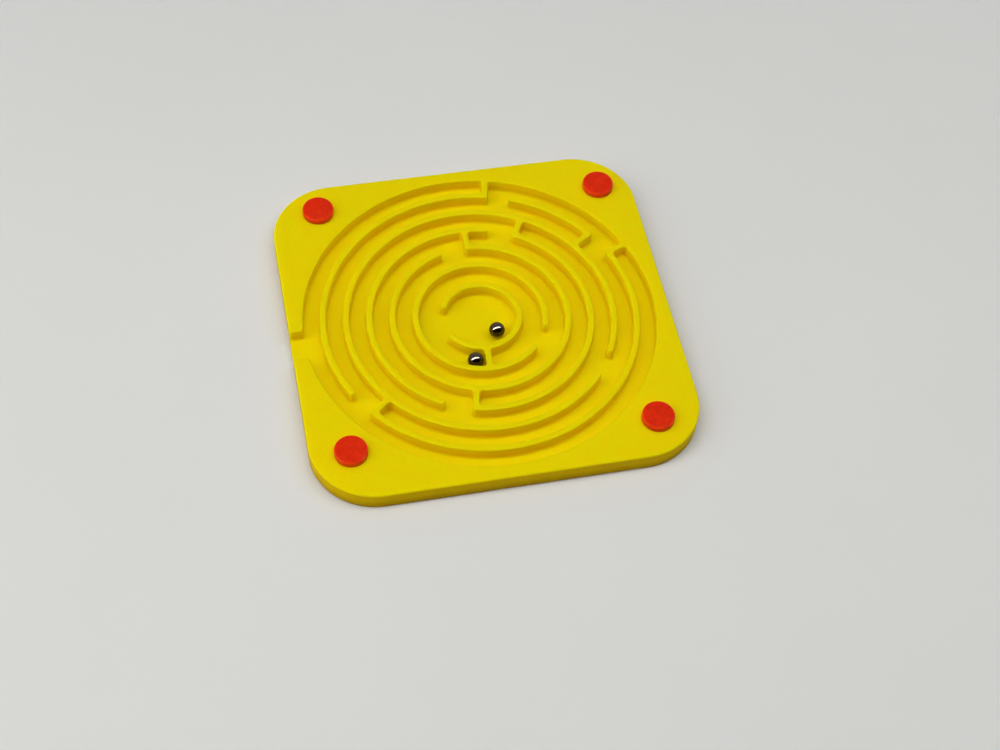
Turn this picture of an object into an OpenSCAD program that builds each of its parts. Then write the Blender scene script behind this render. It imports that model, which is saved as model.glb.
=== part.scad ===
// Ball maze: a square printed tray with a round maze, four push-in corner pins and two loose steel balls.
// Sizes are in millimetres. The origin is the middle of the underside, +Z is up and the front faces -Y.

/* [Balls] */
// Diameter of the steel balls
ball_d = 3.5; // [2.5:0.1:4.5]
// Gap under a ball that rests on the floor
ball_lift = 0.02; // [0.01:0.01:0.05]
// Direction from the middle of the maze in which the goal ball rests
goal_ball_angle = -51.5; // [-140:0.5:140]
// Distance of the goal ball from the middle of the maze
goal_ball_orbit = 4.75; // [2:0.05:5.2]
// Gap between the corridor ball and the divider that it lies beside
divider_gap = 0.35; // [0.1:0.05:4]

/* [Maze walls] */
// Thickness of the maze walls
wall_t = 1.4; // [0.8:0.1:2]
// Height of the maze walls above the floor
wall_h = 3; // [2:0.1:5]
// Inner radius of the goal ring
goal_r = 7.8; // [7.5:0.1:12]
// Play of a ball across a corridor
ball_play = 0.15; // [0.1:0.05:1.5]
// Play of a ball across the corridor round the goal ring
goal_play = 0.85; // [0.2:0.05:2]
// Play of a ball in an ordinary gate
gate_play = 2.1; // [0.6:0.1:2.6]
// Direction of the divider across the corridor round the goal ring
divider_angle = 268; // [230:0.5:300]

/* [Tray] */
// Thickness of the floor under the maze
floor_t = 1.5; // [0.8:0.1:3]
// Width of the rim where it is narrowest
rim_w = 3; // [1.5:0.1:8]
// Radius of the tray's corners
corner_r = 14; // [4:0.5:16]
// Rounding of the tray's top edge
edge_r = 0.4; // [0.1:0.05:0.8]
// Chamfer round the tray's underside
foot_chamfer = 0.3; // [0.1:0.05:0.6]
// Play of a ball in the entry that is cut through the left rim
entry_play = 3.5; // [0.5:0.1:6]
// Place of the entry's middle along the left rim
entry_y = -1.6; // [-8:0.1:8]

/* [Pins] */
// Distance of the pins from the sides of the tray
pin_inset = 9.3; // [8:0.1:10.5]
// Turn of the square of pins against the sides of the tray
pin_turn = -2; // [-4:0.5:4]
// Shift of the square of pins to the right
pin_shift_x = 0.4; // [-1:0.1:1]
// Shift of the square of pins to the back
pin_shift_y = 0.8; // [-1:0.1:1]
// Diameter of a pin's head
head_d = 7; // [5:0.1:8]
// Height of a pin's head
head_h = 1.5; // [0.8:0.1:3]
// Rounding of the head's top edge
head_edge_r = 0.35; // [0.1:0.05:0.6]
// Diameter of a pin's shank
shank_d = 4; // [2.5:0.1:4.5]
// Clearance all round the shank in its hole
shank_fit = 0.05; // [0.02:0.01:0.2]
// Gap between the shank's end and the underside of the tray
shank_gap = 0.2; // [0.1:0.1:1]
// Chamfer at the shank's end
tip_chamfer = 0.5; // [0.1:0.1:0.8]

/* [Hidden] */
$fn = 96;

tray_colour = "#DCCA02";
pin_colour = "#D02311";
ball_colour = "#6B6C70";

// The rings count from the rim: 0 is the rim's own wall and the last one is the goal ring
ring_count = 6;
goal_ring = ring_count;
corridor = ball_d + ball_play;
goal_corridor = ball_d + goal_play;
goal_ring_r = goal_r + wall_t / 2;
inner_ring_r = goal_ring_r + wall_t + goal_corridor;
function ring_r(ring) = ring == goal_ring
    ? goal_ring_r
    : inner_ring_r + (goal_ring - 1 - ring) * (wall_t + corridor);

// Each gate: its ring, the direction of its middle, its share of an ordinary gate's play, and the walls
// that turn off the ring at its clockwise and at its other side: 1 runs out to the next ring, -1 runs in,
// and 0 is a plain wall end
gates = [
    [1, 27.5, 0.9, 1, -1],
    [1, 72.4, 0.62, 0, 1],
    [1, 212.5, 0.95, 0, -1],
    [2, 325, 1.2, 0, 0],
    [3, 68.5, 0.95, 1, 0],
    [3, 248, 1.15, 0, -1],
    [4, 97.7, 1, 1, 0],
    [5, 328, 1.05, 0, 0],
    [goal_ring, 181, 1.62, 0, 0]
];
function gate_ring(gate) = gate[0];
function gate_angle(gate) = gate[1];
function gate_w(gate) = ball_d + gate_play * gate[2];
function gate_return(gate, side) = side < 0 ? gate[3] : gate[4];
function gate_half_angle(gate) = asin(gate_w(gate) / 2 / ring_r(gate_ring(gate)));
function ring_gates(ring) = [for (gate = gates) if (gate_ring(gate) == ring) gate];

// The tray is as large as its maze and its rim
recess_r = ring_r(0) - wall_t / 2;
tray_h = floor_t + wall_h;
tray_half = recess_r + rim_w;
entry_w = ball_d + entry_play;
cut_clear = 1;
edge_steps = 5;

// The pins stand on a square that has its own turn and shift
pin_half = tray_half - pin_inset;
shank_l = tray_h - shank_gap;

// The corridor ball lies in the middle of its corridor, beside the divider
ball_z = floor_t + ball_lift + ball_d / 2;
corridor_ball_orbit = goal_ring_r + (wall_t + goal_corridor) / 2;
corridor_ball_angle = divider_angle - asin((ball_d / 2 + divider_gap + wall_t / 2) / corridor_ball_orbit);

// Points of a rounded edge that turns from a wall at x to a flat top at z
function rounded_edge(x, z, r) = [
    for (step = [0 : edge_steps])
        let (turn = 90 * step / edge_steps)
        [x - r + r * cos(turn), z - r + r * sin(turn)]
];

// Section of the tray from its middle plane to a side wall at x
module tray_half_section(x) {
    polygon(concat(
        [[0, 0], [x - foot_chamfer, 0], [x, foot_chamfer]],
        rounded_edge(x, tray_h, edge_r),
        [[0, tray_h]]
    ));
}

// Half of the tray between two opposite sides, as long as the straight part of a side
module tray_slab() {
    straight = tray_half - corner_r;
    for (side = [0, 1])
        mirror([side, 0, 0])
            translate([0, straight, 0])
                rotate([90, 0, 0])
                    linear_extrude(2 * straight)
                        tray_half_section(tray_half);
}

// Square plate with round corners, a rounded top edge and a chamfered underside
module tray_body() {
    tray_slab();
    rotate([0, 0, 90])
        tray_slab();
    for (x = [-1, 1], y = [-1, 1])
        translate([x * (tray_half - corner_r), y * (tray_half - corner_r), 0])
            rotate_extrude()
                tray_half_section(corner_r);
}

// Round recess that leaves the floor and the rim
module recess() {
    translate([0, 0, floor_t])
        cylinder(h = wall_h + cut_clear, r = recess_r);
}

// Entry through the left rim, level with the floor
module entry() {
    translate([-tray_half - cut_clear, entry_y - entry_w / 2, floor_t])
        cube([tray_half + cut_clear - ring_r(1), entry_w, wall_h + cut_clear]);
}

// Upright closed ring that stands beyond both ends of a maze wall
module closed_ring(ring, beyond) {
    translate([0, 0, floor_t - beyond])
        difference() {
            cylinder(h = wall_h + 2 * beyond, r = ring_r(ring) + wall_t / 2);
            translate([0, 0, -cut_clear])
                cylinder(h = wall_h + 2 * (beyond + cut_clear), r = ring_r(ring) - wall_t / 2);
        }
}

// Upright straight wall from one ring to another, along a direction from the middle
module spoke(angle, from_ring, to_ring, beyond) {
    inner = max(from_ring, to_ring);
    outer = min(from_ring, to_ring);
    rotate([0, 0, angle])
        translate([ring_r(inner), -wall_t / 2, floor_t - beyond])
            cube([ring_r(outer) - ring_r(inner), wall_t, wall_h + 2 * beyond]);
}

// Walls that turn off a ring beside its gates: each reaches a little into the gate, which trims it flush
module gate_returns(ring, beyond) {
    for (gate = ring_gates(ring), side = [-1, 1]) {
        step = gate_return(gate, side);
        widest_r = ring_r(step > 0 ? ring - 1 : ring) + wall_t;
        aside = gate_half_angle(gate) + asin(wall_t / 2 / widest_r);
        if (step != 0)
            spoke(gate_angle(gate) + side * aside, ring, ring - step, beyond);
    }
}

// Wedges from the middle that open the gates of a ring
module gate_wedges(ring, beyond) {
    reach = ring_r(0) + wall_t;
    for (gate = ring_gates(ring))
        rotate([0, 0, gate_angle(gate)])
            translate([0, 0, floor_t - beyond])
                linear_extrude(wall_h + 2 * beyond)
                    polygon([
                        [0, 0],
                        [reach, -reach * tan(gate_half_angle(gate))],
                        [reach, reach * tan(gate_half_angle(gate))]
                    ]);
}

// A ring with the walls that turn off it, from the floor to the rim's height, flush with its neighbours
module ring_wall(ring) {
    spoke_beyond = 2 * cut_clear;
    cutter_beyond = 3 * cut_clear;
    color(tray_colour)
        intersection() {
            translate([0, 0, floor_t])
                cylinder(h = wall_h, r = recess_r);
            difference() {
                union() {
                    closed_ring(ring, cut_clear);
                    gate_returns(ring, spoke_beyond);
                    if (ring == goal_ring)
                        spoke(divider_angle, goal_ring, goal_ring - 1, spoke_beyond);
                }
                gate_wedges(ring, cutter_beyond);
                if (ring > 1)
                    closed_ring(ring - 1, cutter_beyond);
                if (ring < goal_ring)
                    closed_ring(ring + 1, cutter_beyond);
            }
        }
}

// Puts its children at one corner of the square of pins
module at_pin(x, y) {
    translate([pin_shift_x, pin_shift_y, 0])
        rotate([0, 0, pin_turn])
            translate([x * pin_half, y * pin_half, 0])
                children();
}

// Floor and rim of the printed tray
module tray_base() {
    color(tray_colour)
        difference() {
            tray_body();
            recess();
            entry();
            for (x = [-1, 1], y = [-1, 1])
                at_pin(x, y)
                    translate([0, 0, -cut_clear])
                        cylinder(h = tray_h + 2 * cut_clear, d = shank_d + 2 * shank_fit);
        }
}

// Push-in pin with a flat round head that sits on the rim
module pin(x, y) {
    color(pin_colour)
        at_pin(x, y)
            translate([0, 0, shank_gap])
                rotate_extrude()
                    polygon(concat(
                        [[0, 0], [shank_d / 2 - tip_chamfer, 0], [shank_d / 2, tip_chamfer]],
                        [[shank_d / 2, shank_l], [head_d / 2, shank_l]],
                        rounded_edge(head_d / 2, shank_l + head_h, head_edge_r),
                        [[0, shank_l + head_h]]
                    ));
}

// Steel ball on the floor, at a distance and direction from the middle of the maze
module ball(orbit, angle) {
    color(ball_colour)
        rotate([0, 0, angle])
            translate([orbit, 0, ball_z])
                sphere(d = ball_d);
}

tray_base();
ring_wall(1);  // outer_ring_wall
ring_wall(2);  // second_ring_wall
ring_wall(3);  // third_ring_wall
ring_wall(4);  // fourth_ring_wall
ring_wall(5);  // fifth_ring_wall
ring_wall(goal_ring);  // goal_ring_wall
pin(-1, -1);  // pin_front_left
pin(1, -1);  // pin_front_right
pin(-1, 1);  // pin_back_left
pin(1, 1);  // pin_back_right
ball(goal_ball_orbit, goal_ball_angle);  // goal_ball
ball(corridor_ball_orbit, corridor_ball_angle);  // corridor_ball
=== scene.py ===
"""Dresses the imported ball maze: a printed tray, four push-in pins and two steel balls.

The tray is rebuilt as one seamless print from the sizes of its plan, and stands for the tray's CAD
nodes. The pins and the balls keep their CAD shapes and get their finishes here. Plans and sizes are
in millimetres, and a mesh is turned to metres when it is written.
"""

import logging
import math
from dataclasses import dataclass
from enum import Enum
from typing import Any, Iterable, Optional, Sequence

import bmesh
import bpy
from mathutils import Matrix, Vector
from mathutils.geometry import delaunay_2d_cdt


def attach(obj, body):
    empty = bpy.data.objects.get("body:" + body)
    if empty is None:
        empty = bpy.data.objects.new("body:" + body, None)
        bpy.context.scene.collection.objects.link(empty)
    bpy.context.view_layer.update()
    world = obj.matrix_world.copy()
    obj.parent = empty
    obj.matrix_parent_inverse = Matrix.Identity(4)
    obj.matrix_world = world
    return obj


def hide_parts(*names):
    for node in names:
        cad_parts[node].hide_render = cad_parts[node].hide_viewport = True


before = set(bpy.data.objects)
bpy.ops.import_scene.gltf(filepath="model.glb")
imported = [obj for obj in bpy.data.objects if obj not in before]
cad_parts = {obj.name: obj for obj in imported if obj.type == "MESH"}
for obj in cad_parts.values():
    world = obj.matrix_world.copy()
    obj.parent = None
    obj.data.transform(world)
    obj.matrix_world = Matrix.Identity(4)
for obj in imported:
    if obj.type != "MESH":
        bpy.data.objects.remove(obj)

LOG = logging.getLogger("ball_maze")
# Metres in a millimetre
MM = 0.001
# Points of a plan that lie closer than this, in millimetres, are taken as one
PLAN_WELD = 1e-5
FILL_WELD = 1e-6
# A path has a corner where it turns by more than this, and less belongs to a drawn curve
CORNER_TURN = math.radians(30)
# Keeps a division away from zero
TINY = 1e-9
# Nearly all of a noise texture lies between these levels
NOISE_SPAN = (0.3, 0.7)
# The sockets of a mix node: two colours and their mix, or two levels and theirs
COLOUR_A, COLOUR_B, COLOUR_MIX = 6, 7, 2
LEVEL_A, LEVEL_B, LEVEL_MIX = 2, 3, 0

Point = tuple[float, float]
Loop = list[Point]
Row = list[bmesh.types.BMVert]
Span = tuple[float, float]
Triple = tuple[float, float, float]
Colour = tuple[float, float, float, float]


def linear(hex_colour: str) -> Colour:
    """Turns an sRGB hex colour into linear light.

    Args:
        hex_colour: Six hex digits after a hash sign.

    Returns:
        Red, green, blue and an alpha of one.
    """
    values = [int(hex_colour[i:i + 2], 16) / 255 for i in (1, 3, 5)]
    red, green, blue = [v / 12.92 if v <= 0.04045 else ((v + 0.055) / 1.055) ** 2.4 for v in values]
    return red, green, blue, 1.0


def add_node(
    tree: bpy.types.NodeTree,
    kind: str,
    inputs: Optional[dict[Any, Any]] = None,
    **settings: Any,
) -> bpy.types.Node:
    """Adds a node, sets it up and fills or links its sockets.

    Args:
        tree: The node tree that takes the node.
        kind: The node's type, without its common beginning.
        inputs: A value, or an output socket to link from, for each input's name or number.
        settings: The node's own properties.

    Returns:
        The new node.
    """
    node = tree.nodes.new("ShaderNode" + kind)
    for name, value in settings.items():
        setattr(node, name, value)
    for name, value in (inputs or {}).items():
        if isinstance(value, bpy.types.NodeSocket):
            tree.links.new(value, node.inputs[name])
        else:
            node.inputs[name].default_value = value
    return node


def empty_tree(owner: bpy.types.ID) -> bpy.types.NodeTree:
    """Gives a material or a world a node tree without nodes.

    Args:
        owner: The material or the world.

    Returns:
        Its node tree.
    """
    owner.use_nodes = True
    owner.node_tree.nodes.clear()
    return owner.node_tree


def rows_scale(width_mm: float) -> float:
    """Gives a diagonal wave's scale: it repeats each pi / 5 along the sum of its coordinates."""
    return math.pi / 5 / (math.sqrt(2) * width_mm * MM)


def layers_scale(height_mm: float) -> float:
    """Gives an upright wave's scale: it repeats each pi / 10 along its one axis."""
    return math.pi / 10 / (height_mm * MM)


class Turn(Enum):
    """How a ring wall ends at a gate."""

    PLAIN = 0
    OUT = 1
    IN = -1


class Kept(Enum):
    """Which triangles an arrangement of lines gives back."""

    ALL = 0
    INSIDE = 1


@dataclass(frozen=True)
class Gate:
    """An opening in a ring wall.

    The ring counts from the rim, the angle is the direction of the gate's middle, and the share is
    the part of an ordinary gate's play that a ball has in it.
    """

    ring: int
    angle: float
    share: float
    clockwise_end: Turn = Turn.PLAIN
    other_end: Turn = Turn.PLAIN

    def sides(self) -> tuple[tuple[int, Turn], ...]:
        """Gives both sides, where -1 is the clockwise one, and how the wall ends at each."""
        return (-1, self.clockwise_end), (1, self.other_end)


@dataclass(frozen=True)
class Spoke:
    """A straight wall along a direction from the middle, from one radius to another."""

    ring: int
    angle: float
    inner: float
    outer: float


@dataclass(frozen=True)
class MazePlan:
    """The tray's plan from above: its outline, its recess, its ring walls and their gates."""

    ball_d: float = 3.5
    wall_t: float = 1.4
    goal_r: float = 7.8
    ball_play: float = 0.15
    goal_play: float = 0.85
    gate_play: float = 2.1
    divider_angle: float = 268.0
    rim_w: float = 3.0
    corner_r: float = 14.0
    entry_play: float = 3.5
    entry_y: float = -1.6
    pin_inset: float = 9.3
    pin_turn: float = -2.0
    pin_shift: Point = (0.4, 0.8)
    pin_hole_d: float = 4.1
    goal_ring: int = 6
    # A circle is drawn in straight pieces of about this length, and in no fewer than this many
    arc_step: float = 0.5
    fewest_pieces: int = 32
    gates: tuple[Gate, ...] = (
        Gate(1, 27.5, 0.9, Turn.OUT, Turn.IN),
        Gate(1, 72.4, 0.62, Turn.PLAIN, Turn.OUT),
        Gate(1, 212.5, 0.95, Turn.PLAIN, Turn.IN),
        Gate(2, 325.0, 1.2),
        Gate(3, 68.5, 0.95, Turn.OUT, Turn.PLAIN),
        Gate(3, 248.0, 1.15, Turn.PLAIN, Turn.IN),
        Gate(4, 97.7, 1.0, Turn.OUT, Turn.PLAIN),
        Gate(5, 328.0, 1.05),
        Gate(6, 181.0, 1.62),
    )

    def ring_r(self, ring: int) -> float:
        """Gives the middle radius of a ring wall, where ring 0 is the rim's own wall."""
        goal = self.goal_r + self.wall_t / 2
        if ring == self.goal_ring:
            return goal
        innermost = goal + self.wall_t + self.ball_d + self.goal_play
        step = self.wall_t + self.ball_d + self.ball_play
        return innermost + (self.goal_ring - 1 - ring) * step

    @property
    def recess_r(self) -> float:
        """Gives the radius of the round recess."""
        return self.ring_r(0) - self.wall_t / 2

    @property
    def half(self) -> float:
        """Gives half of the tray's side."""
        return self.recess_r + self.rim_w

    @property
    def entry(self) -> Span:
        """Gives the lowest and the highest y of the entry through the left rim."""
        half_width = (self.ball_d + self.entry_play) / 2
        return self.entry_y - half_width, self.entry_y + half_width

    def gate_half_angle(self, gate: Gate) -> float:
        """Gives half of the angle that a gate opens, in degrees."""
        width = self.ball_d + self.gate_play * gate.share
        return math.degrees(math.asin(width / 2 / self.ring_r(gate.ring)))

    def turn_reach(self, gate: Gate, turn: Turn) -> list[float]:
        """Gives the radii, in order, between which a wall turns off a ring beside a gate."""
        return sorted((self.ring_r(gate.ring), self.ring_r(gate.ring - turn.value)))

    def spokes(self) -> list[Spoke]:
        """Lists the walls that turn off a ring beside its gates, and the divider.

        Returns:
            One spoke for each straight wall.
        """
        found = [Spoke(self.goal_ring, self.divider_angle,
                       self.ring_r(self.goal_ring), self.ring_r(self.goal_ring - 1))]
        for gate in self.gates:
            for side, turn in gate.sides():
                if turn is Turn.PLAIN:
                    continue
                inner, outer = self.turn_reach(gate, turn)
                aside = self.gate_half_angle(gate) + math.degrees(
                    math.asin(self.wall_t / 2 / (outer + self.wall_t)))
                found.append(Spoke(gate.ring, gate.angle + side * aside, inner, outer))
        return found

    def in_gate(self, ring: int, angle: float) -> bool:
        """Tells if a direction, in degrees, lies in one of a ring's gates."""
        return any(
            gate.ring == ring
            and abs((angle - gate.angle + 180) % 360 - 180) < self.gate_half_angle(gate)
            for gate in self.gates
        )

    def edge_distance(self, point: Point) -> float:
        """Gives a point's distance inside the tray's outline, or less than zero outside it."""
        straight = self.half - self.corner_r
        over = [abs(v) - straight for v in point]
        if max(over) <= 0:
            return self.corner_r - max(over)
        return self.corner_r - math.hypot(*(max(v, 0.0) for v in over))

    def is_wall(self, point: Point) -> bool:
        """Tells if the print stands at its full height at a point.

        Args:
            point: A place in the plan.

        Returns:
            True on the rim and on a wall, and False on the floor, in a pin hole and outside.
        """
        x, y = point
        radius, angle = math.hypot(x, y), math.degrees(math.atan2(y, x))
        if radius > self.recess_r:
            in_entry = x < 0 and self.entry[0] < y < self.entry[1]
            in_hole = any(math.dist(point, pin) < self.pin_hole_d / 2 for pin in self.pins())
            return self.edge_distance(point) > 0 and not in_entry and not in_hole
        for ring in range(1, self.goal_ring + 1):
            if abs(radius - self.ring_r(ring)) < self.wall_t / 2 and not self.in_gate(ring, angle):
                return True
        for spoke in self.spokes():
            turn = math.radians(angle - spoke.angle)
            along, aside = radius * math.cos(turn), radius * math.sin(turn)
            if spoke.inner < along < spoke.outer and abs(aside) < self.wall_t / 2:
                if not self.in_gate(spoke.ring, angle):
                    return True
        return False

    def pins(self) -> list[Point]:
        """Lists the middles of the four pin holes."""
        turn, reach = math.radians(self.pin_turn), self.half - self.pin_inset
        return [
            (
                self.pin_shift[0] + reach * (x * math.cos(turn) - y * math.sin(turn)),
                self.pin_shift[1] + reach * (x * math.sin(turn) + y * math.cos(turn)),
            )
            for x in (-1, 1) for y in (-1, 1)
        ]

    def circle(self, radius: float, middle: Point = (0.0, 0.0)) -> Loop:
        """Draws a circle in short straight pieces."""
        count = max(self.fewest_pieces, round(2 * math.pi * radius / self.arc_step))
        turns = [2 * math.pi * i / count for i in range(count)]
        return [(middle[0] + radius * math.cos(t), middle[1] + radius * math.sin(t)) for t in turns]

    def outline(self) -> Loop:
        """Draws the tray's square outline with its round corners."""
        straight = self.half - self.corner_r
        steps = round(self.corner_r * math.pi / 2 / self.arc_step)
        points = []
        for quarter, (x, y) in enumerate(((1, 1), (-1, 1), (-1, -1), (1, -1))):
            for i in range(steps + 1):
                turn = math.pi / 2 * (quarter + i / steps)
                points.append((x * straight + self.corner_r * math.cos(turn),
                               y * straight + self.corner_r * math.sin(turn)))
        return points

    def lines(self) -> list[Loop]:
        """Draws the straight lines that bound the gates, the spokes and the entry."""
        drawn = []
        for gate in self.gates:
            for side, turn in gate.sides():
                angle = math.radians(gate.angle + side * self.gate_half_angle(gate))
                inner, outer = self.turn_reach(gate, turn)
                reach = (inner - self.wall_t, outer + self.wall_t)
                drawn.append([(r * math.cos(angle), r * math.sin(angle)) for r in reach])
        for spoke in self.spokes():
            angle = math.radians(spoke.angle)
            for side in (-self.wall_t / 2, self.wall_t / 2):
                drawn.append([
                    (r * math.cos(angle) - side * math.sin(angle),
                     r * math.sin(angle) + side * math.cos(angle))
                    for r in (spoke.inner, spoke.outer)
                ])
        beyond = self.half + self.wall_t
        drawn.extend([[(-beyond, y), (-self.ring_r(1), y)] for y in self.entry])
        return drawn

    def wall_loops(self) -> list[Loop]:
        """Finds the outlines of all that stands at full height.

        Returns:
            Closed loops, each with the print on its left.
        """
        closed = [self.outline(), self.circle(self.recess_r)]
        closed += [self.circle(self.pin_hole_d / 2, pin) for pin in self.pins()]
        for ring in range(1, self.goal_ring + 1):
            closed += [self.circle(self.ring_r(ring) + side * self.wall_t / 2) for side in (-1, 1)]
        points: list[Vector] = []
        edges: list[tuple[int, int]] = []
        for line, is_closed in [(c, True) for c in closed] + [(o, False) for o in self.lines()]:
            first = len(points)
            points += [Vector(p) for p in line]
            edges += [(first + i, first + i + 1) for i in range(len(line) - 1)]
            if is_closed:
                edges.append((first + len(line) - 1, first))
        corners, _, triangles, *_ = delaunay_2d_cdt(
            points, edges, [], Kept.ALL.value, PLAN_WELD)
        walled = set()
        for triangle in triangles:
            middle = sum((corners[i] for i in triangle), Vector((0.0, 0.0))) / 3
            if self.is_wall((middle.x, middle.y)):
                walled |= {(triangle[i], triangle[(i + 1) % 3]) for i in range(3)}
        following = {a: b for a, b in walled if (b, a) not in walled}
        loops = []
        while following:
            start, point = following.popitem()
            loop = [corners[start][:]]
            while point != start:
                loop.append(corners[point][:])
                point = following.pop(point)
            loops.append(loop)
        return loops


def signed_area(loop: Loop) -> float:
    """Gives a loop's area, which is above zero where the loop runs anticlockwise."""
    return sum(a[0] * b[1] - b[0] * a[1] for a, b in zip(loop, loop[1:] + loop[:1])) / 2


def turn_at(before: Point, point: Point, after: Point) -> float:
    """Gives the angle by which a path turns left at a point."""
    first = math.atan2(point[1] - before[1], point[0] - before[0])
    second = math.atan2(after[1] - point[1], after[0] - point[0])
    return (second - first + math.pi) % (2 * math.pi) - math.pi


def trimmed(run: Loop, length: float, shortest: float = 0.15) -> Loop:
    """Cuts a length off the start of a run of points.

    Args:
        run: The run's points.
        length: How much comes off.
        shortest: The shortest piece that may follow the cut.

    Returns:
        The rest of the run.
    """
    left = length
    for i, (a, b) in enumerate(zip(run, run[1:])):
        piece = math.dist(a, b)
        if piece > left:
            share = left / piece
            start = (a[0] + (b[0] - a[0]) * share, a[1] + (b[1] - a[1]) * share)
            rest = run[i + 1:]
            while len(rest) > 1 and math.dist(start, rest[0]) < shortest:
                rest.pop(0)
            return [start] + rest
        left -= piece
    return run[-1:]


def rounded_corners(loop: Loop, convex: float, concave: float, steps: int) -> Loop:
    """Rounds the corners of a loop that has the print on its left.

    Args:
        loop: The loop's points.
        convex: How far from an outer corner its rounding starts.
        concave: How far from an inner corner its rounding starts.
        steps: Straight pieces in each rounding.

    Returns:
        The loop with its corners rounded.
    """
    count = len(loop)
    turns = [turn_at(loop[i - 1], loop[i], loop[(i + 1) % count]) for i in range(count)]
    cuts = [convex if turn > 0 else concave for turn in turns]
    corners = [i for i in range(count) if abs(turns[i]) > CORNER_TURN]
    if not corners:
        return loop
    rounded: Loop = []
    for this, following in zip(corners, corners[1:] + [corners[0] + count]):
        cut = cuts[following % count]
        run = trimmed([loop[i % count] for i in range(this, following + 1)], cuts[this])
        run = trimmed(run[::-1], cut)[::-1]
        rounded += run
        start, corner = Vector(run[-1]), Vector(loop[following % count])
        after = [loop[(following + i) % count] for i in range(count)]
        end = Vector(trimmed(after, cut)[0])
        to_start, to_end = start - corner, end - corner
        reach = max(to_start.dot(to_start + to_end), TINY)
        middle = corner + (to_start + to_end) * (to_start.length_squared / reach)
        for step in range(1, steps):
            arm = (start - middle).slerp(end - middle, step / steps) * (start - middle).length
            rounded.append((middle + arm)[:])
    return rounded


def inward(loop: Loop) -> list[Vector]:
    """Gives the step to the left at each point that moves both of its edges by one.

    Args:
        loop: The loop's points.

    Returns:
        One step for each point.
    """
    lefts = []
    for a, b in zip(loop, loop[1:] + loop[:1]):
        along = (Vector(b) - Vector(a)).normalized()
        lefts.append(Vector((-along.y, along.x)))
    return [(lefts[i - 1] + lefts[i]) / (1 + lefts[i - 1].dot(lefts[i])) for i in range(len(loop))]


def from_above(row: Row) -> Loop:
    """Gives the places of a row of points in the plan."""
    return [point.co.xy[:] for point in row]


def filled(loops: Sequence[Loop]) -> list[tuple[int, ...]]:
    """Fills the area between loops with triangles.

    Args:
        loops: Closed loops that don't touch. A loop inside another is a hole.

    Returns:
        Anticlockwise triangles, as numbers of points counted through the loops in order.
    """
    points = [Vector(p) for loop in loops for p in loop]
    faces, first = [], 0
    for loop in loops:
        numbers = list(range(first, first + len(loop)))
        faces.append(numbers if signed_area(loop) > 0 else numbers[::-1])
        first += len(loop)
    _, _, triangles, origins, _, holders = delaunay_2d_cdt(
        points, [], faces, Kept.INSIDE.value, FILL_WELD)
    return [
        tuple(origins[i][0] for i in triangle)
        for triangle, held in zip(triangles, holders) if len(held) % 2
    ]


class PrintFace(Enum):
    """The kinds of surface that a printer leaves on a flat print, in the order of its materials."""

    TOP = 0
    FLOOR = 1
    SIDE = 2
    SKIRT = 3
    UNDERSIDE = 4


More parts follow.
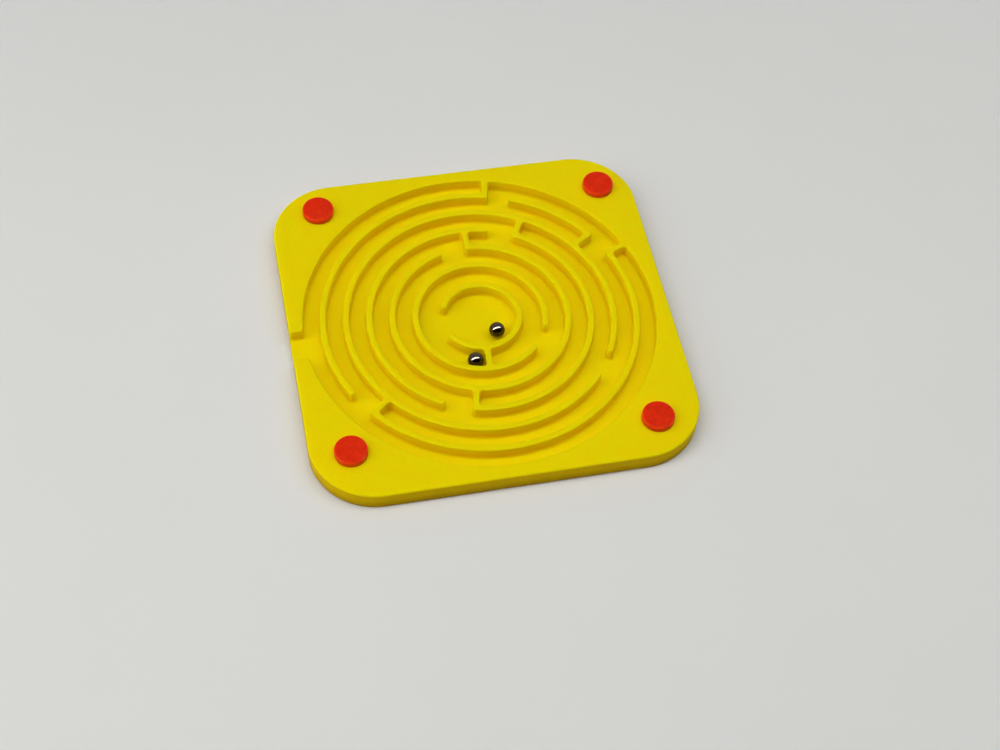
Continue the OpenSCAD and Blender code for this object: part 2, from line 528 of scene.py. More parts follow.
@dataclass(frozen=True)
class YellowPrint:
    """Yellow PLA, printed in layers from a 0.4 mm nozzle.

    To the eye: a satin, strongly coloured plastic. Flat tops show rows of laid thread at 45 degrees
    inside a few threads that follow the outline, walls show stacked layers, and light that has gone
    from wall to wall turns deeper and warmer. The colours also hold painted light and shade: the
    walls' sides are lighter than the tops, the outer skirt is darker, both darken towards their
    foot, and the threads' valleys are darker than their crests.
    """

    top: str = "#F7E203"
    top_valley: str = "#F3DD03"
    floor: str = "#F4DF03"
    floor_valley: str = "#F2DD03"
    # The sides' yellow is lighter than the top's: painted light on walls that stand in shade
    side: str = "#FFE603"
    lit_side_valley: str = "#FADE03"
    # Painted shade: the sides turn darker towards their foot, where the corridors lie in shade
    side_foot_shade: str = "#F1D003"
    # The skirt is a darker copy of the yellow: painted shade on the tray's outer face, darkest at
    # its foot where it meets the table
    skirt: str = "#EBCA03"
    shaded_skirt_valley: str = "#DDB603"
    skirt_foot_shade: str = "#AF8303"
    shine: str = "#FFE61E"
    ior: float = 1.46
    roughness: float = 0.5
    roughness_play: float = 0.06
    specular: float = 0.12
    # The skirt's layers break up its gloss
    skirt_specular: float = 0.02
    # How deep the light of each colour soaks into the plastic before it comes out again
    soak: float = 0.8
    soak_mm: Triple = (1.8, 1.2, 0.1)
    # The floor is one dense skin, in which the light goes less far
    floor_soak: float = 0.3
    thread_mm: float = 0.45
    outline_threads: int = 3
    # The rows set in between these shares of the outline threads' width
    rows_begin: Span = (0.9, 1.2)
    raster_mm: float = 0.76
    # The layers are 0.2 mm, too fine for the render, and are drawn twice as high
    layer_mm: float = 0.4
    mottle_mm: float = 7.0
    grain_mm: float = 0.55
    # The levels of threads, mottle and grain together that give the valley's and the crest's
    # colour;
    # the darker valleys are painted shade in the thread grooves, the mottle and grain the plastic's
    # own uneven tone
    shade_span: Span = (0.4, 1.1)
    # The heights between which a wall's colour goes over from what is below to what is above:
    # painted shade towards the foot of the skirt and the sides, and the floor's colour on the
    # sides' rounded foot
    skirt_shade_rise_mm: Span = (0.0, 2.4)
    side_shade_rise_mm: Span = (2.2, 3.6)
    floor_rise_mm: Span = (1.5, 1.95)
    thread_depth_mm: float = 0.004
    floor_depth_mm: float = 0.0012
    layer_depth_mm: float = 0.02
    # How high the grain stands next to the threads
    grain_share: float = 1.5

    def material(self, face: PrintFace, plan: MazePlan) -> bpy.types.Material:
        """Makes the material of one kind of surface.

        Args:
            face: The kind of surface.
            plan: The plan whose outlines the threads follow.

        Returns:
            The material.
        """
        made = bpy.data.materials.new("yellow_printed_pla_" + face.name.lower())
        tree = empty_tree(made)
        place = add_node(tree, "TexCoord").outputs["Object"]
        if face in (PrintFace.SIDE, PrintFace.SKIRT):
            height = self.layers(tree, place)
            # The sides take the lighter yellow, painted light; the skirt below takes a darker one,
            # painted shade
            depth, low, high = self.layer_depth_mm, self.lit_side_valley, self.side
            # The skirt takes the darker copy of the yellow, painted shade
            if face is PrintFace.SKIRT:
                low, high = self.shaded_skirt_valley, self.skirt
        elif face is PrintFace.FLOOR:
            turned = add_node(tree, "Mapping", {"Vector": place, "Rotation": (0, 0, math.pi / 2)})
            height = self.raster(tree, turned.outputs[0])
            depth, low, high = self.floor_depth_mm, self.floor_valley, self.floor
        else:
            height = self.threads(tree, place, plan)
            depth, low, high = self.thread_depth_mm, self.top_valley, self.top
        mottle = add_node(tree, "TexNoise", {
            "Vector": place, "Scale": 1 / (self.mottle_mm * MM),
            "Detail": 3.0, "Roughness": 0.55}).outputs[0]
        grain = add_node(tree, "TexNoise", {
            "Vector": place, "Scale": 1 / (self.grain_mm * MM),
            "Detail": 2.0, "Roughness": 0.5}).outputs[0]
        shade = add_node(
            tree, "Math", {0: height, 1: mottle, 2: grain}, operation="MULTIPLY_ADD").outputs[0]
        shade = add_node(tree, "MapRange", {
            "Value": shade,
            "From Min": self.shade_span[0], "From Max": self.shade_span[1]}).outputs[0]
        colour = add_node(tree, "Mix", {
            "Factor": shade, COLOUR_A: linear(low), COLOUR_B: linear(high)},
            data_type="RGBA").outputs[COLOUR_MIX]
        if face is PrintFace.SKIRT:
            # Painted shade: the skirt darkens towards its foot
            colour = self.deepened(tree, place, colour, self.skirt_foot_shade, self.skirt_shade_rise_mm)
        elif face is PrintFace.SIDE:
            # Painted shade: the sides darken towards their foot, then take the floor's colour on
            # the rounding
            colour = self.deepened(tree, place, colour, self.side_foot_shade, self.side_shade_rise_mm)
            colour = self.deepened(tree, place, colour, self.floor, self.floor_rise_mm)
        rough = add_node(tree, "MapRange", {
            "Value": grain, "From Min": NOISE_SPAN[0], "From Max": NOISE_SPAN[1],
            "To Min": self.roughness - self.roughness_play,
            "To Max": self.roughness + self.roughness_play}).outputs[0]
        relief = add_node(
            tree, "Math", {0: grain, 1: self.grain_share, 2: height},
            operation="MULTIPLY_ADD").outputs[0]
        bump = add_node(tree, "Bump", {
            "Height": relief, "Distance": depth * MM, "Strength": 1.0}).outputs[0]
        shader = add_node(tree, "BsdfPrincipled", {
            "Base Color": colour, "Roughness": rough, "IOR": self.ior,
            "Specular IOR Level": self.skirt_specular if face is PrintFace.SKIRT else self.specular,
            "Specular Tint": linear(self.shine), "Normal": bump,
            "Subsurface Weight": self.soak, "Subsurface Radius": self.soak_mm,
            "Subsurface Scale": self.floor_soak * MM if face is PrintFace.FLOOR else MM})
        add_node(tree, "OutputMaterial", {"Surface": shader.outputs[0]})
        return made

    def deepened(
        self,
        tree: bpy.types.NodeTree,
        place: bpy.types.NodeSocket,
        colour: bpy.types.NodeSocket,
        deep: str,
        rise_mm: Span,
    ) -> bpy.types.NodeSocket:
        """Lets a wall's colour go over into another one towards its foot: painted shade at the foot
        of the skirt and the sides, and the floor's colour where a side rounds into the floor.

        Args:
            tree: The material's node tree.
            place: The place on the surface, in metres.
            colour: The colour of the upper layers.
            deep: The colour at the foot.
            rise_mm: The heights at which the colour starts to change and is all changed.

        Returns:
            The wall's colour from its foot to its top.
        """
        height = add_node(tree, "SeparateXYZ", {0: place}).outputs["Z"]
        share = add_node(tree, "MapRange", {
            "Value": height, "From Min": rise_mm[0] * MM, "From Max": rise_mm[1] * MM}).outputs[0]
        return add_node(tree, "Mix", {
            "Factor": share, COLOUR_A: linear(deep), COLOUR_B: colour},
            data_type="RGBA").outputs[COLOUR_MIX]

    def raster(self, tree: bpy.types.NodeTree, place: bpy.types.NodeSocket) -> bpy.types.NodeSocket:
        """Draws rows of thread at 45 degrees.

        Args:
            tree: The material's node tree.
            place: The place on the surface, in metres.

        Returns:
            The threads' height, from 0 to 1.
        """
        return add_node(tree, "TexWave", {
            "Vector": place, "Scale": rows_scale(self.raster_mm),
            "Distortion": 0.5, "Detail": 2.0, "Detail Scale": 0.6,
        }, bands_direction="DIAGONAL").outputs["Fac"]

    def layers(self, tree: bpy.types.NodeTree, place: bpy.types.NodeSocket) -> bpy.types.NodeSocket:
        """Draws the stacked layers of a wall.

        Args:
            tree: The material's node tree.
            place: The place on the surface, in metres.

        Returns:
            The layers' height, from 0 to 1.
        """
        return add_node(tree, "TexWave", {
            "Vector": place, "Scale": layers_scale(self.layer_mm),
            "Distortion": 0.4, "Detail": 2.0, "Detail Scale": 0.3,
        }, bands_direction="Z").outputs["Fac"]

    def threads(
        self, tree: bpy.types.NodeTree, place: bpy.types.NodeSocket, plan: MazePlan
    ) -> bpy.types.NodeSocket:
        """Draws a top layer: threads along its outlines and along the ring walls, and rows between.

        Args:
            tree: The material's node tree.
            place: The place on the surface, in metres.
            plan: The plan whose outlines the threads follow.

        Returns:
            The threads' height, from 0 to 1.
        """
        straight = (plan.half - plan.corner_r) * MM
        folded = add_node(tree, "VectorMath", {0: place}, operation="ABSOLUTE").outputs[0]
        over = add_node(tree, "VectorMath", {0: folded, 1: (straight, straight, 1.0)},
                        operation="SUBTRACT").outputs[0]
        over = add_node(tree, "VectorMath", {0: over, 1: (0, 0, 0)}, operation="MAXIMUM").outputs[0]
        beyond = add_node(tree, "VectorMath", {0: over}, operation="LENGTH").outputs["Value"]
        from_side = add_node(
            tree, "Math", {0: plan.corner_r * MM, 1: beyond}, operation="SUBTRACT").outputs[0]
        flat = add_node(
            tree, "VectorMath", {0: place, 1: (1, 1, 0)}, operation="MULTIPLY").outputs[0]
        radius = add_node(tree, "VectorMath", {0: flat}, operation="LENGTH").outputs["Value"]
        from_recess = add_node(
            tree, "Math", {0: radius, 1: plan.recess_r * MM}, operation="SUBTRACT").outputs[0]
        nearest = add_node(
            tree, "Math", {0: from_side, 1: from_recess}, operation="MINIMUM").outputs[0]
        phase = add_node(tree, "Math", {0: nearest, 1: 2 * math.pi / (self.thread_mm * MM)},
                         operation="MULTIPLY").outputs[0]
        crest = add_node(tree, "Math", {0: phase}, operation="COSINE").outputs[0]
        outline = add_node(tree, "MapRange", {
            "Value": crest, "From Min": 1.0, "From Max": -1.0}).outputs[0]
        reach = self.outline_threads * self.thread_mm * MM
        inside = add_node(tree, "MapRange", {
            "Value": nearest,
            "From Min": self.rows_begin[0] * reach, "From Max": self.rows_begin[1] * reach},
            interpolation_type="SMOOTHSTEP").outputs[0]
        return add_node(tree, "Mix", {
            "Factor": inside, LEVEL_A: outline, LEVEL_B: self.raster(tree, place),
        }).outputs[LEVEL_MIX]


@dataclass(frozen=True)
class RedPrint:
    """Red PLA, printed in layers with the head's top uppermost.

    To the eye: a warm, slightly mottled satin red, with rows of thread on the top. A paler edge
    where the top rounds over is a painted highlight, and the sides are painted brighter and
    oranger, as light bounced from the yellow tray.
    """

    crest: str = "#F23310"
    valley: str = "#E0290C"
    # A painted highlight along the top's rounded edge
    painted_highlight: str = "#F43C18"
    # The sides are painted brighter and oranger than the top: painted light bounced from the yellow
    # tray
    side: str = "#FF4A14"
    shine: str = "#FF7A50"
    ior: float = 1.46
    roughness: float = 0.34
    roughness_play: float = 0.08
    specular: float = 0.2
    # How deep the light of each colour soaks into the plastic before it comes out again
    soak: float = 0.8
    soak_mm: Triple = (1.6, 0.25, 0.1)
    raster_mm: float = 0.62
    # The layers are 0.2 mm, too fine for the render, and are drawn twice as high
    layer_mm: float = 0.4
    mottle_mm: float = 1.3
    depth_mm: float = 0.008
    # How much the threads shade the red next to its mottle
    threads_share: float = 0.1
    # The levels of threads and mottle together that give the valley's and the crest's colour
    shade_span: Span = (0.38, 0.72)
    # A face that looks up by more than this is part of the top
    top_facing: float = 0.85
    # The shares of the head's width, from its middle out, between which the painted highlight on
    # the paler edge sets in
    highlight_span: Span = (0.44, 0.49)
    highlight_share: float = 0.7

    def material(self) -> bpy.types.Material:
        """Makes the material of the pins.

        Returns:
            The material.
        """
        made = bpy.data.materials.new("red_printed_pla")
        tree = empty_tree(made)
        where = add_node(tree, "TexCoord")
        place, in_box = where.outputs["Object"], where.outputs["Generated"]
        rows = add_node(tree, "TexWave", {
            "Vector": place, "Scale": rows_scale(self.raster_mm),
            "Distortion": 0.8, "Detail": 2.0}, bands_direction="DIAGONAL").outputs["Fac"]
        layers = add_node(tree, "TexWave", {
            "Vector": place, "Scale": layers_scale(self.layer_mm),
            "Distortion": 0.4, "Detail": 2.0}, bands_direction="Z").outputs["Fac"]
        from_axis = add_node(
            tree, "VectorMath", {0: in_box, 1: (0.5, 0.5, 0.0)}, operation="SUBTRACT").outputs[0]
        flat = add_node(
            tree, "VectorMath", {0: from_axis, 1: (1, 1, 0)}, operation="MULTIPLY").outputs[0]
        radius = add_node(tree, "VectorMath", {0: flat}, operation="LENGTH").outputs["Value"]
        normal = add_node(tree, "NewGeometry").outputs["Normal"]
        upward = add_node(tree, "SeparateXYZ", {0: normal}).outputs["Z"]
        is_top = add_node(
            tree, "Math", {0: upward, 1: self.top_facing}, operation="GREATER_THAN").outputs[0]
        height = add_node(tree, "Mix", {
            "Factor": is_top, LEVEL_A: layers, LEVEL_B: rows}).outputs[LEVEL_MIX]
        mottle = add_node(tree, "TexNoise", {
            "Vector": place, "Scale": 1 / (self.mottle_mm * MM),
            "Detail": 4.0, "Roughness": 0.6}).outputs[0]
        shade = add_node(
            tree, "Math", {0: height, 1: self.threads_share, 2: mottle},
            operation="MULTIPLY_ADD").outputs[0]
        shade = add_node(tree, "MapRange", {
            "Value": shade,
            "From Min": self.shade_span[0], "From Max": self.shade_span[1]}).outputs[0]
        body = add_node(tree, "Mix", {
            "Factor": shade, COLOUR_A: linear(self.valley), COLOUR_B: linear(self.crest)},
            data_type="RGBA").outputs[COLOUR_MIX]
        # Painted bounce light: the sides take the brighter, oranger red
        body = add_node(tree, "Mix", {
            "Factor": is_top, COLOUR_A: linear(self.side), COLOUR_B: body},
            data_type="RGBA").outputs[COLOUR_MIX]
        # Painted highlight: the top turns paler towards its rim
        in_highlight = add_node(tree, "MapRange", {
            "Value": radius, "From Min": self.highlight_span[0], "From Max": self.highlight_span[1],
            "To Max": self.highlight_share}).outputs[0]
        in_highlight = add_node(
            tree, "Math", {0: in_highlight, 1: is_top}, operation="MULTIPLY").outputs[0]
        colour = add_node(tree, "Mix", {
            "Factor": in_highlight, COLOUR_A: body, COLOUR_B: linear(self.painted_highlight)},
            data_type="RGBA").outputs[COLOUR_MIX]
        rough = add_node(tree, "MapRange", {
            "Value": mottle, "From Min": NOISE_SPAN[0], "From Max": NOISE_SPAN[1],
            "To Min": self.roughness - self.roughness_play,
            "To Max": self.roughness + self.roughness_play}).outputs[0]
        bump = add_node(tree, "Bump", {
            "Height": height, "Distance": self.depth_mm * MM, "Strength": 1.0}).outputs[0]
        shader = add_node(tree, "BsdfPrincipled", {
            "Base Color": colour, "Roughness": rough, "IOR": self.ior,
            "Specular IOR Level": self.specular, "Specular Tint": linear(self.shine),
            "Normal": bump, "Subsurface Weight": self.soak,
            "Subsurface Radius": self.soak_mm, "Subsurface Scale": MM})
        add_node(tree, "OutputMaterial", {"Surface": shader.outputs[0]})
        return made


@dataclass(frozen=True)
class BearingSteel:
    """Hardened bearing steel, ground and lapped to a dark mirror.

    To the eye: a nearly black mirror that shows the tray below and the lamp above, broken only by
    faint cloudiness and hair-thin scratches.
    """

    bright: str = "#5E554B"
    dull: str = "#52483D"
    # Smoothest between the scratches, and roughest on them
    roughness: Span = (0.04, 0.09)
    cloud_mm: float = 0.8
    # The scratches are hair-thin, and are drawn as coarse as they need to show
    scratch_mm: float = 0.12
    scratch_depth_mm: float = 0.0004
    # The turn of the scratches in radians, and the scale that draws them out along two axes
    scratch_turn: Triple = (0.4, 0.9, 0.3)
    scratch_scale: Triple = (1.0, 0.06, 0.06)

    def material(self) -> bpy.types.Material:
        """Makes the material of the balls.

        Returns:
            The material.
        """
        made = bpy.data.materials.new("lapped_bearing_steel")
        tree = empty_tree(made)
        place = add_node(tree, "TexCoord").outputs["Object"]
        cloud = add_node(tree, "TexNoise", {
            "Vector": place, "Scale": 1 / (self.cloud_mm * MM), "Detail": 3.0}).outputs[0]
        stretched = add_node(tree, "Mapping", {
            "Vector": place, "Rotation": self.scratch_turn,
            "Scale": self.scratch_scale}).outputs[0]
        scratch = add_node(tree, "TexNoise", {
            "Vector": stretched, "Scale": 1 / (self.scratch_mm * MM), "Detail": 2.0}).outputs[0]
        colour = add_node(tree, "Mix", {
            "Factor": cloud, COLOUR_A: linear(self.dull), COLOUR_B: linear(self.bright)},
            data_type="RGBA").outputs[COLOUR_MIX]
        rough = add_node(tree, "MapRange", {
            "Value": scratch, "From Min": NOISE_SPAN[0], "From Max": NOISE_SPAN[1],
            "To Min": self.roughness[0], "To Max": self.roughness[1]}).outputs[0]
        bump = add_node(tree, "Bump", {
            "Height": scratch, "Distance": self.scratch_depth_mm * MM, "Strength": 1.0}).outputs[0]
        shader = add_node(tree, "BsdfPrincipled", {
            "Base Color": colour, "Metallic": 1.0, "Roughness": rough, "Normal": bump})
        add_node(tree, "OutputMaterial", {"Surface": shader.outputs[0]})
        return made


@dataclass(frozen=True)
class PrintedTray:
    """The tray as it comes off the printer: floor, rim and maze walls in one piece."""

    plan: MazePlan = MazePlan()
    finish: YellowPrint = YellowPrint()
    floor_z: float = 1.5
    top_z: float = 4.5
    rim_edge_r: float = 0.4
    wall_edge_r: float = 0.27
    edge_steps: int = 4
    base_r: float = 0.55
    base_steps: int = 4
    foot_chamfer: float = 0.3
    outer_corner: float = 0.65
    # More than the rounding at the foot of the walls, which would fold over itself otherwise
    inner_corner: float = 0.8
    corner_steps: int = 5
    # A point as close to the tray's outline as this lies on it
    outline_slack: float = 0.01
    # Faces that meet at a larger angle than this have a hard edge
    hard_edge_deg: float = 40.0
    replaced: tuple[str, ...] = (
        "tray_base", "outer_ring_wall", "second_ring_wall", "third_ring_wall",
        "fourth_ring_wall", "fifth_ring_wall", "goal_ring_wall",
    )

    def edge_r(self, point: Point) -> float:
        """Gives the rounding of the top edge at a point, larger on the tray's outline."""
        share = max(0.0, 1 - self.plan.edge_distance(point) / self.outer_corner)
        return self.wall_edge_r + (self.rim_edge_r - self.wall_edge_r) * share

    def base_spread(self, point: Point) -> float:
        """Gives the rounding of a wall's foot at a point, which ends at the tray's outline."""
        return self.base_r * min(1.0, self.plan.edge_distance(point) / self.base_r)

    def build(self) -> bpy.types.Object:
        """Builds the tray's mesh, dresses it and puts it on its body.

        Returns:
            The tray.
        """
        mesh = bpy.data.meshes.new("printed_tray")
        shape = bmesh.new()
        self.shape(shape)
        shape.to_mesh(mesh)
        shape.free()
        mesh.polygons.foreach_set("use_smooth", [True] * len(mesh.polygons))
        mesh.set_sharp_from_angle(angle=math.radians(self.hard_edge_deg))
        tray = bpy.data.objects.new("printed_tray", mesh)
        bpy.context.scene.collection.objects.link(tray)
        self.dress(tray)
        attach(tray, "tray")
        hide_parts(*self.replaced)
        return tray

    def dress(self, tray: bpy.types.Object) -> None:
        """Gives the tray its materials and even shading on its flats.

        Args:
            tray: The tray's object.
        """
        for face in PrintFace:
            tray.data.materials.append(self.finish.material(face, self.plan))
        even = tray.modifiers.new("even_flats", "WEIGHTED_NORMAL")
        even.keep_sharp = True

    def shape(self, shape: bmesh.types.BMesh) -> None:
        """Fills a mesh with the tray.

        Args:
            shape: The empty mesh.
        """
        rounded = [
            rounded_corners(loop, self.outer_corner, self.inner_corner, self.corner_steps)
            for loop in self.plan.wall_loops()
        ]
        holes = [loop for loop in rounded if self.is_pin_hole(loop)]
        walls = [loop for loop in rounded if not self.is_pin_hole(loop)]
        rim_at = next(i for i, loop in enumerate(walls) if any(map(self.on_outline, loop)))
        rim = walls[rim_at] = self.from_outline(walls[rim_at])
        outer_count = sum(map(self.on_outline, rim))

        feet, tops = [], []
        for loop in walls:
            foot, top = self.wall(shape, loop)
            feet.append(foot)
            tops.append(top)
        hole_feet, hole_tops = [], []
        for loop in holes:
            low, high = (self.row(shape, loop, z, [0.0] * len(loop)) for z in (0.0, self.top_z))
            self.band(shape, low, high, PrintFace.SIDE)
            hole_feet += low
            hole_tops += high
        self.patch(shape, [from_above(top) for top in tops] + holes, sum(tops, []) + hole_tops,
                   PrintFace.TOP)

        rim_foot = feet.pop(rim_at)
        floor_rows = [rim_foot[outer_count - 1:] + rim_foot[:1]] + feet
        self.patch(shape, [from_above(row) for row in floor_rows], sum(floor_rows, []),
                   PrintFace.FLOOR)

        outline = rim[:outer_count]
        bend = self.row(shape, outline, self.foot_chamfer, [0.0] * outer_count)
        base = self.row(shape, outline, 0.0, [self.foot_chamfer] * outer_count)
        self.band(shape, bend, rim_foot[:outer_count], PrintFace.SKIRT)
        self.band(shape, base, bend, PrintFace.SKIRT)
        self.patch(shape, [from_above(base)] + holes, base + hole_feet, PrintFace.UNDERSIDE,
                   facing_up=False)
        bmesh.ops.scale(shape, vec=(MM, MM, MM), verts=shape.verts)

    def is_pin_hole(self, loop: Loop) -> bool:
        """Tells if a loop is the outline of a pin hole."""
        return any(math.dist(loop[0], pin) < self.plan.pin_hole_d for pin in self.plan.pins())

    def on_outline(self, point: Point) -> bool:
        """Tells if a point lies on the tray's outline."""
        return self.plan.edge_distance(point) < self.outline_slack

    def from_outline(self, loop: Loop) -> Loop:
        """Turns a loop's points on, so that it starts where it comes to the tray's outline."""
        outside = [self.on_outline(point) for point in loop]
        start = next(i for i in range(len(loop)) if outside[i] and not outside[i - 1])
        return loop[start:] + loop[:start]

    def wall(self, shape: bmesh.types.BMesh, loop: Loop) -> tuple[Row, Row]:
        """Builds the sides of a wall, with its rounded foot and its rounded top edge.

        Args:
            shape: The mesh that takes them.
            loop: The wall's outline.

        Returns:
            The lowest and the highest row of points.
        """
        rows = []
        spread = [self.base_spread(point) for point in loop]
        for step in range(self.base_steps + 1):
            turn = math.pi / 2 * step / self.base_steps
            rows.append(self.row(
                shape, loop, self.floor_z + self.base_r * (1 - math.cos(turn)),
                [-r * (1 - math.sin(turn)) for r in spread]))
        radii = [self.edge_r(point) for point in loop]
        for step in range(self.edge_steps + 1):
            turn = math.pi / 2 * step / self.edge_steps
            rows.append(self.row(
                shape, loop, self.top_z, [r * (1 - math.cos(turn)) for r in radii],
                [r * (1 - math.sin(turn)) for r in radii]))
        outside = [self.on_outline(point) for point in loop]
        for level, (lower, upper) in enumerate(zip(rows, rows[1:])):
            for i, made in enumerate(self.band(shape, lower, upper, PrintFace.TOP)):
                on_skirt = outside[i] and outside[(i + 1) % len(loop)]
                if on_skirt and level <= self.base_steps:
                    made.material_index = PrintFace.SKIRT.value
                elif not on_skirt and level <= self.base_steps + 1:
                    made.material_index = PrintFace.SIDE.value
        return rows[0], rows[-1]

    def row(
        self,
        shape: bmesh.types.BMesh,
        loop: Loop,
        z: float,
        insets: Sequence[float],
        drops: Optional[Sequence[float]] = None,
    ) -> Row:
        """Adds a row of points along a loop.

        Args:
            shape: The mesh that takes them.
            loop: The loop's points.
            z: The row's height.
            insets: How far each point lies inside the loop.
            drops: How far each point lies below the height.

        Returns:
            The new points.
        """
        drops = drops or [0.0] * len(loop)
        return [
            shape.verts.new((p[0] + step.x * inset, p[1] + step.y * inset, z - drop))
            for p, step, inset, drop in zip(loop, inward(loop), insets, drops)
        ]

    def band(
        self, shape: bmesh.types.BMesh, lower: Row, upper: Row, face: PrintFace
    ) -> list[bmesh.types.BMFace]:
        """Joins two closed rows of points with a band of faces.

        Args:
            shape: The mesh that takes the faces.
            lower: The lower row.
            upper: The upper row.
            face: The kind of surface.

        Returns:
            The new faces, in the order of the points.
        """
        count, band = len(lower), []
        for i in range(count):
            after = (i + 1) % count
            band.append(shape.faces.new((lower[i], lower[after], upper[after], upper[i])))
            band[-1].material_index = face.value
        return band

    def patch(
        self,
        shape: bmesh.types.BMesh,
        loops: Sequence[Loop],
        verts: Row,
        face: PrintFace,
        facing_up: bool = True,
    ) -> None:
        """Fills the area between loops.

        Args:
            shape: The mesh that takes the faces.
            loops: The loops.
            verts: The mesh's points along the loops, in the same order.
            face: The kind of surface.
            facing_up: False for a face that looks down.
        """
        for triangle in filled(loops):
            corners = [verts[i] for i in triangle]
            made = shape.faces.new(corners if facing_up else corners[::-1])
            made.material_index = face.value


@dataclass(frozen=True)
class CornerPins:
    """The four push-in pins, which keep their CAD shapes."""

    nodes: tuple[str, ...] = (
        "pin_front_left", "pin_front_right", "pin_back_left", "pin_back_right")
    finish: RedPrint = RedPrint()

    def dress(self) -> list[bpy.types.Object]:
        """Gives the pins their finish.

        Returns:
            The pins.
        """
        return dressed(self.nodes, self.finish.material())


@dataclass(frozen=True)
class SteelBalls:
    """The two loose balls, which keep their CAD shapes."""

    nodes: tuple[str, ...] = ("goal_ball", "corridor_ball")
    finish: BearingSteel = BearingSteel()

    def dress(self) -> list[bpy.types.Object]:
        """Gives the balls their finish.

        Returns:
            The balls.
        """
        return dressed(self.nodes, self.finish.material())


def dressed(nodes: Iterable[str], material: bpy.types.Material) -> list[bpy.types.Object]:
    """Puts a material on CAD nodes.

    Args:
        nodes: The nodes' names.
        material: Their material.

    Returns:
        The nodes' objects.
    """
    found = [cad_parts[name] for name in nodes]
    for node in found:
        for slot in node.material_slots:
            slot.material = material
    return found


@dataclass(frozen=True)
class PaleTable:
    """The plain pale table top under the tray, which goes over into the backdrop far from it."""

    colour: str = "#EAEAE7"
    dark: str = "#E6E6E3"
    roughness: float = 0.8
    specular: float = 0.2
    reach_mm: float = 9000.0
    below_mm: float = 0.02
    cloud_mm: float = 60.0
    fade_mm: Span = (130.0, 420.0)

    def build(self, backdrop: float) -> bpy.types.Object:
        """Builds the table top as part of the stage.

        Args:
            backdrop: The level of the backdrop.

        Returns:
            The table top.
        """
        mesh = bpy.data.meshes.new("pale_table")
        r, z = self.reach_mm * MM, -self.below_mm * MM
        mesh.from_pydata([(-r, -r, z), (r, -r, z), (r, r, z), (-r, r, z)], [], [(0, 1, 2, 3)])
        mesh.materials.append(self.material(backdrop))
        table = bpy.data.objects.new("pale_table", mesh)
        bpy.context.scene.collection.objects.link(table)
        return table

    def material(self, backdrop: float) -> bpy.types.Material:
        """Makes the board's material, which the camera and mirrors see fade into the backdrop.

        Args:
            backdrop: The level of the backdrop.

        Returns:
            The material.
        """
        made = bpy.data.materials.new("pale_matt_board")
        tree = empty_tree(made)
        place = add_node(tree, "TexCoord").outputs["Object"]
        cloud = add_node(tree, "TexNoise", {
            "Vector": place, "Scale": 1 / (self.cloud_mm * MM)}).outputs[0]
        colour = add_node(tree, "Mix", {
            "Factor": cloud, COLOUR_A: linear(self.dark), COLOUR_B: linear(self.colour)},
            data_type="RGBA").outputs[COLOUR_MIX]
        shader = add_node(tree, "BsdfPrincipled", {
            "Base Color": colour, "Roughness": self.roughness,
            "Specular IOR Level": self.specular})
        away = add_node(tree, "VectorMath", {0: place}, operation="LENGTH").outputs["Value"]
        far = add_node(tree, "MapRange", {
            "Value": away, "From Min": self.fade_mm[0] * MM, "From Max": self.fade_mm[1] * MM},
            interpolation_type="SMOOTHSTEP").outputs[0]
        ray = add_node(tree, "LightPath")
        seen = ray.outputs["Is Camera Ray"]
        for kind in ("Is Glossy Ray", "Is Transmission Ray"):
            seen = add_node(
                tree, "Math", {0: seen, 1: ray.outputs[kind]}, operation="MAXIMUM").outputs[0]
        share = add_node(tree, "Math", {0: far, 1: seen}, operation="MULTIPLY").outputs[0]
        glow = add_node(tree, "Emission", {"Color": (1, 1, 1, 1), "Strength": backdrop})
        surface = add_node(tree, "MixShader", {0: share, 1: shader.outputs[0], 2: glow.outputs[0]})
        add_node(tree, "OutputMaterial", {"Surface": surface.outputs[0]})
        return made


@dataclass(frozen=True)
class SoftLamp:
    """A flat rectangular lamp that faces the tray."""

    name: str
    toward: Triple
    along: Triple
    away_m: float
    size_m: Span
    watts: float
    lights: bool = True
    shows_in_gloss: bool = True

    def build(self) -> bpy.types.Object:
        """Hangs the lamp.

        Returns:
            The lamp.
        """
        lamp = bpy.data.lights.new(self.name, "AREA")
        lamp.shape = "RECTANGLE"
        lamp.size, lamp.size_y = self.size_m
        lamp.energy = self.watts
        holder = bpy.data.objects.new(self.name, lamp)
        bpy.context.scene.collection.objects.link(holder)
        back = Vector(self.toward).normalized()
        along = Vector(self.along)
        along = (along - back * along.dot(back)).normalized()
        turned = Matrix((along, back.cross(along), back)).transposed()
        holder.matrix_world = Matrix.LocRotScale(back * self.away_m, turned, None)
        holder.visible_diffuse = self.lights
        holder.visible_glossy = self.shows_in_gloss
        return holder


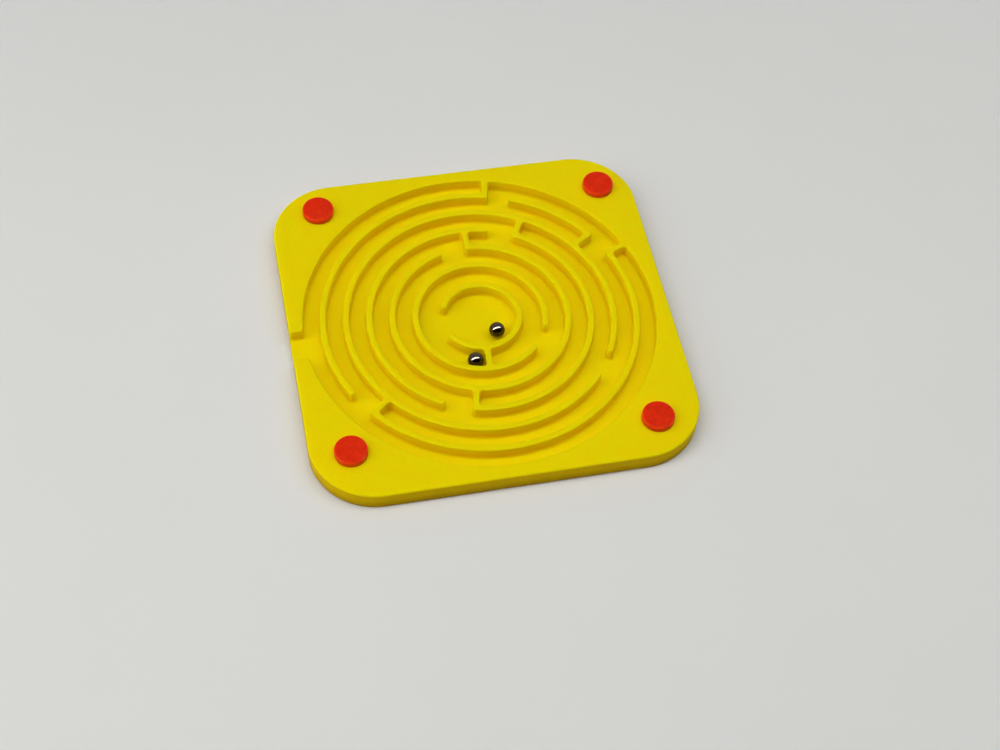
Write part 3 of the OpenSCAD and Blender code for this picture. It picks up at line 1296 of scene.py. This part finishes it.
@dataclass(frozen=True)
class Studio:
    """A soft panel overhead, a strip that shows in gloss alone, and a room dark at the front."""

    panel: SoftLamp = SoftLamp(
        name="overhead_panel", toward=(-0.27, -0.09, 0.955), along=(1.0, 0.05, 0.25),
        away_m=0.6, size_m=(2.6, 0.3), watts=6.75, shows_in_gloss=False)
    strip: SoftLamp = SoftLamp(
        name="gloss_strip", toward=(-0.190, -0.080, 0.978), along=(0.979, 0.058, 0.195),
        away_m=0.6, size_m=(1.8, 0.16), watts=24.0, lights=False)
    # The room's level on its dark and its bright side, as it lights and as gloss shows it
    room: Span = (0.06, 0.25)
    room_bright_side: Triple = (-0.35, 0.94, 0.0)
    room_in_gloss: Span = (0.02, 0.62)
    gloss_bright_side: Triple = (0.0, 1.0, 0.0)
    # How far to each side of the middle the room's level changes
    room_reach: float = 0.7
    backdrop: float = 0.64

    def build(self) -> None:
        """Lights the scene."""
        scene = bpy.context.scene
        scene.view_settings.view_transform = "Standard"
        self.panel.build()
        self.strip.build()
        world = bpy.data.worlds.new("soft_room")
        scene.world = world
        tree = empty_tree(world)
        toward = add_node(tree, "TexCoord").outputs["Generated"]
        levels = []
        for (dark, bright), side in (
            (self.room, self.room_bright_side), (self.room_in_gloss, self.gloss_bright_side)
        ):
            share = add_node(tree, "VectorMath", {0: toward, 1: side}, operation="DOT_PRODUCT")
            levels.append(add_node(tree, "MapRange", {
                "Value": share.outputs["Value"],
                "From Min": -self.room_reach, "From Max": self.room_reach,
                "To Min": dark, "To Max": bright}, interpolation_type="SMOOTHSTEP").outputs[0])
        ray = add_node(tree, "LightPath")
        level = add_node(tree, "Mix", {
            "Factor": ray.outputs["Is Glossy Ray"],
            LEVEL_A: levels[0], LEVEL_B: levels[1]}).outputs[LEVEL_MIX]
        level = add_node(tree, "Mix", {
            "Factor": ray.outputs["Is Camera Ray"],
            LEVEL_A: level, LEVEL_B: self.backdrop}).outputs[LEVEL_MIX]
        light = add_node(tree, "Background", {"Color": (1, 1, 1, 1), "Strength": level})
        add_node(tree, "OutputWorld", {"Surface": light.outputs[0]})


@dataclass(frozen=True)
class PhotoCamera:
    """The camera at the photograph's place and angle."""

    place_mm: Triple = (-54.080, -212.995, 297.482)
    turn_deg: Triple = (34.7583, -2.9000, -11.4818)
    lens_mm: float = 60.139
    sensor_mm: float = 36.0
    clip_m: Span = (0.01, 50.0)

    def build(self) -> bpy.types.Object:
        """Sets up the camera.

        Returns:
            The camera.
        """
        lens = bpy.data.cameras.new("photo_camera")
        lens.lens, lens.sensor_width = self.lens_mm, self.sensor_mm
        lens.clip_start, lens.clip_end = self.clip_m
        camera = bpy.data.objects.new("photo_camera", lens)
        bpy.context.scene.collection.objects.link(camera)
        camera.location = [v * MM for v in self.place_mm]
        camera.rotation_euler = [math.radians(v) for v in self.turn_deg]
        bpy.context.scene.camera = camera
        return camera


def main() -> None:
    """Builds the scene."""
    logging.basicConfig(level=logging.INFO, format="%(message)s")
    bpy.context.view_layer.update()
    PhotoCamera().build()
    studio = Studio()
    studio.build()
    PaleTable().build(studio.backdrop)
    tray = PrintedTray().build()
    for piece in [tray, *CornerPins().dress(), *SteelBalls().dress()]:
        LOG.info("%s: %d faces", piece.name, len(piece.data.polygons))


if __name__ == "__main__":
    main()
